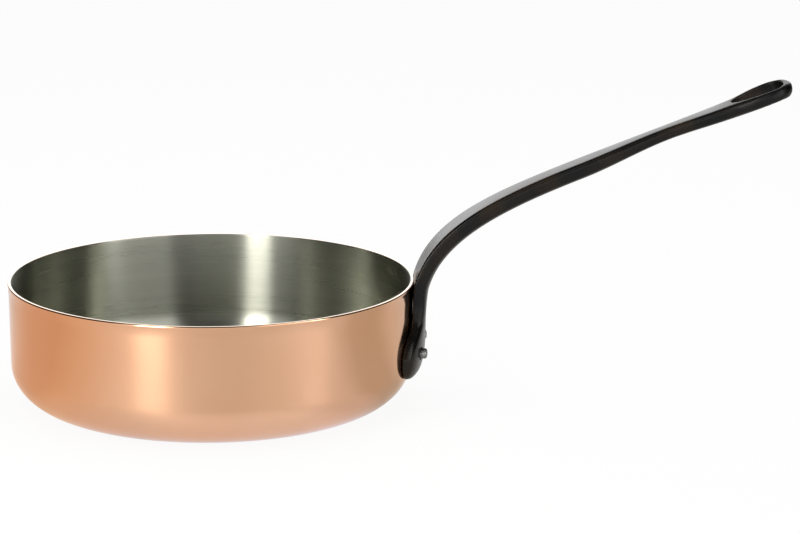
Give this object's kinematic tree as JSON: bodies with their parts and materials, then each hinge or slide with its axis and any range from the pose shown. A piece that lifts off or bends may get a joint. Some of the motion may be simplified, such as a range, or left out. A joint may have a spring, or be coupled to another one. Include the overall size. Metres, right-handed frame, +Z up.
{
  "type": "saute pan",
  "caption": "Straight-sided saute pan: copper outside, steel inside, with a long raised cast iron handle that ends in a hanging eye.",
  "frame": {"origin": "centre of the flat base, on the surface the pan stands on", "axes": "+Z up out of the pan, +X from the pan's axis along the handle"},
  "size_m": [0.5463, 0.285, 0.2307],
  "materials": {
    "copper": "polished copper",
    "lining": "brushed round the pan's axis",
    "iron": "satin black, fine casting texture",
    "rivet": "dull"
  },
  "bodies": {
    "root": {"copper_body": "copper", "steel_lining": "lining", "handle": "iron", "rivet_left": "rivet", "rivet_right": "rivet"}
  },
  "joints": []
}
